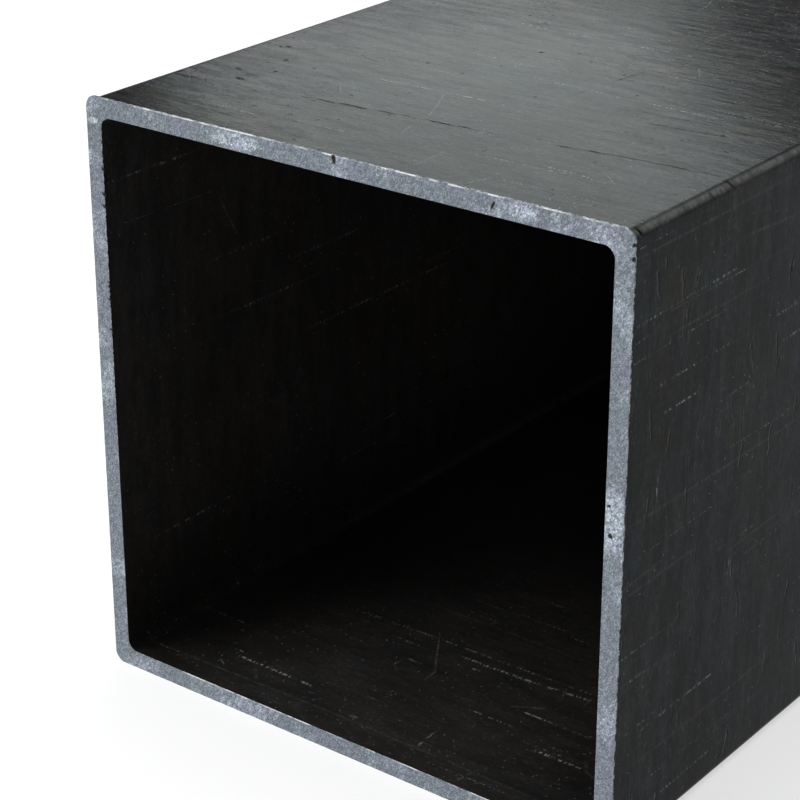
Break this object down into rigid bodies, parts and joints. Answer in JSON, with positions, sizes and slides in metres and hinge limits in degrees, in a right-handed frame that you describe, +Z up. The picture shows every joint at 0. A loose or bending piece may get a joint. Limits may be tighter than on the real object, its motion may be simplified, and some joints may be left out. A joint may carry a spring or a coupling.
{
  "type": "square metal tube",
  "caption": "Straight length of square steel tube with thin even walls, tight corners, a dark mill-scale skin and bright square-sawn open ends.",
  "frame": {"origin": "on the plane that the tube lies on, under the middle of its length and width", "axes": "+Y along the tube, +X across it, +Z up out of the face opposite the one it lies on"},
  "size_m": [0.1016, 0.9144, 0.1016],
  "materials": {
    "mill_steel": "satin"
  },
  "bodies": {
    "root": {"square_tube": "mill_steel"}
  },
  "joints": []
}
